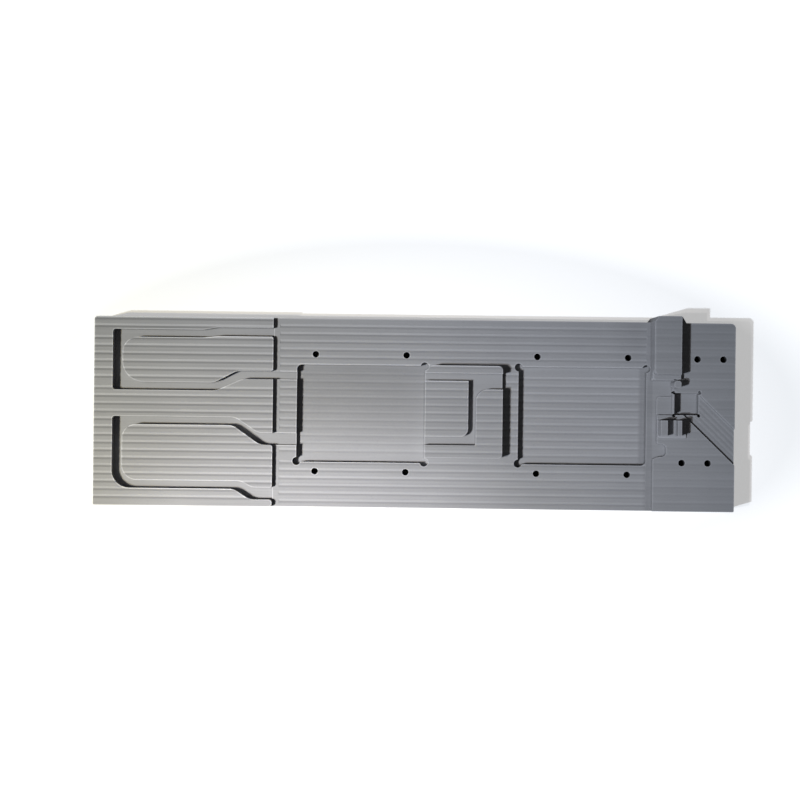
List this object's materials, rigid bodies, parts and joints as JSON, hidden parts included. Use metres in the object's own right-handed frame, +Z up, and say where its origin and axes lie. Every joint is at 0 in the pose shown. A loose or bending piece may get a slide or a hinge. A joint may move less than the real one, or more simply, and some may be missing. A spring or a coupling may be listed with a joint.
{
  "type": "graphite brazing mold",
  "caption": "Long flat graphite plate milled from one block, with bent tube channels, large pockets, a stepped core, a rib with posts, and through holes for locating pins.",
  "frame": {"origin": "middle of the plate's flat bottom face", "axes": "+X along the plate from the tube channels to the rib, +Z up out of the milled face"},
  "size_m": [0.4, 0.1213, 0.029],
  "materials": {
    "graphite": "matte"
  },
  "bodies": {
    "root": {"mold_plate": "graphite"}
  },
  "joints": []
}
